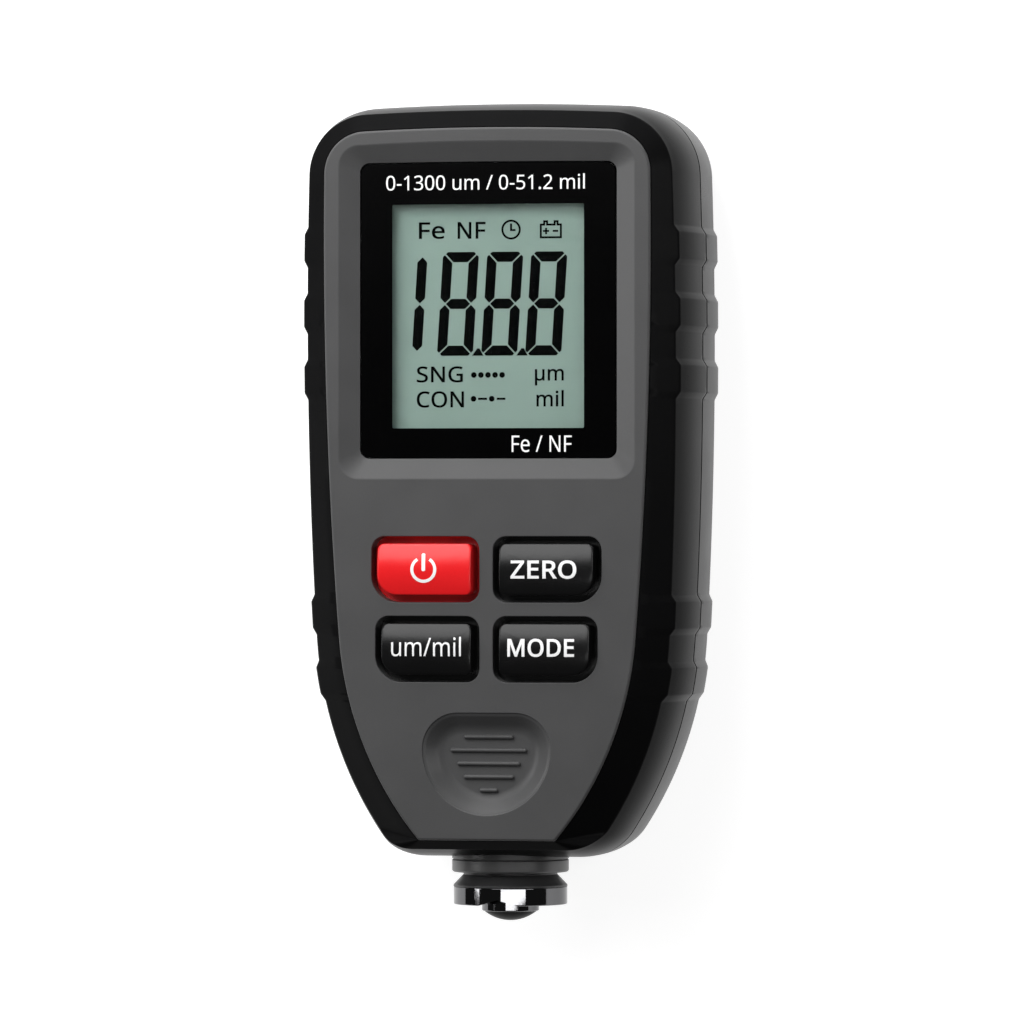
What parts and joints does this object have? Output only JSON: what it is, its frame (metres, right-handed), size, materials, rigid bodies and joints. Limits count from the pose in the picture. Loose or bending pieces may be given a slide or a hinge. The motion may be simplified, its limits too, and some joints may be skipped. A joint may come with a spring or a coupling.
{
  "type": "coating thickness gauge",
  "caption": "Pocket coating thickness gauge: ribbed two-shell housing, liquid crystal display, push keys, thumb scoop, sprung dome probe in a notched skirt and a sliding battery door.",
  "frame": {"origin": "on the plane of the back, under the middle of the gauge's box", "axes": "+X to the right of the face, +Y up the gauge away from the probe, +Z out of the face"},
  "size_m": [0.0504, 0.1024, 0.0258],
  "materials": {
    "black_housing": "satin moulded",
    "grey_panel": "fine matte texture",
    "clear_lens": "clear gloss",
    "black_rubber": "matte",
    "lcd_glass": "satin grey-green",
    "white_plastic": "matte",
    "board": "solder mask",
    "chip_black": "matte",
    "red_key": "gloss",
    "black_key": "gloss",
    "grey_rubber": "matte",
    "black_metal": "satin black",
    "polished_chrome": "polished",
    "dark_tip": "satin",
    "core_iron": "plain",
    "copper_wire": "enamelled",
    "spring_steel": "bright",
    "cell_jacket": "satin",
    "dark_screw": "blackened"
  },
  "bodies": {
    "housing": {"front_shell": "black_housing", "face_panel": "grey_panel", "rear_shell": "black_housing", "display_lens": "clear_lens", "lens_gasket": "black_rubber", "lcd_panel": "lcd_glass", "lcd_frame": "white_plastic", "zebra_strip": "black_rubber", "circuit_board": "board", "main_chip": "chip_black", "key_mat": "grey_rubber", "probe_collar": "black_metal", "probe_sleeve": "black_metal", "probe_skirt": "polished_chrome", "probe_spring": "spring_steel", "battery_left": "cell_jacket", "battery_right": "cell_jacket", "contact_springs": "spring_steel", "contact_plates": "spring_steel", "housing_screws": "dark_screw", "board_screws": "spring_steel"},
    "power_button": {"power_key": "red_key"},
    "zero_button": {"zero_key": "black_key"},
    "unit_button": {"unit_key": "black_key"},
    "mode_button": {"mode_key": "black_key"},
    "probe": {"probe_plunger": "polished_chrome", "probe_tip": "dark_tip", "probe_core": "core_iron", "probe_coil": "copper_wire"},
    "door": {"battery_door": "black_housing"}
  },
  "joints": [
    {"name": "power_press", "type": "slide", "parent": "housing", "child": "power_button", "axis": [0, 0, -1], "range_m": [0, 0.0006], "stiffness_N_per_m": 1500, "springref_m": -0.0002},
    {"name": "zero_press", "type": "slide", "parent": "housing", "child": "zero_button", "axis": [0, 0, -1], "range_m": [0, 0.0006], "stiffness_N_per_m": 1500, "springref_m": -0.0002},
    {"name": "unit_press", "type": "slide", "parent": "housing", "child": "unit_button", "axis": [0, 0, -1], "range_m": [0, 0.0006], "stiffness_N_per_m": 1500, "springref_m": -0.0002},
    {"name": "mode_press", "type": "slide", "parent": "housing", "child": "mode_button", "axis": [0, 0, -1], "range_m": [0, 0.0006], "stiffness_N_per_m": 1500, "springref_m": -0.0002},
    {"name": "probe_press", "type": "slide", "parent": "housing", "child": "probe", "axis": [0, 1, 0], "range_m": [0, 0.002], "stiffness_N_per_m": 600, "springref_m": -0.002, "deforming": ["probe_spring"]},
    {"name": "door_slide", "type": "slide", "parent": "housing", "child": "door", "axis": [0, 1, 0], "range_m": [0, 0.06]}
  ]
}
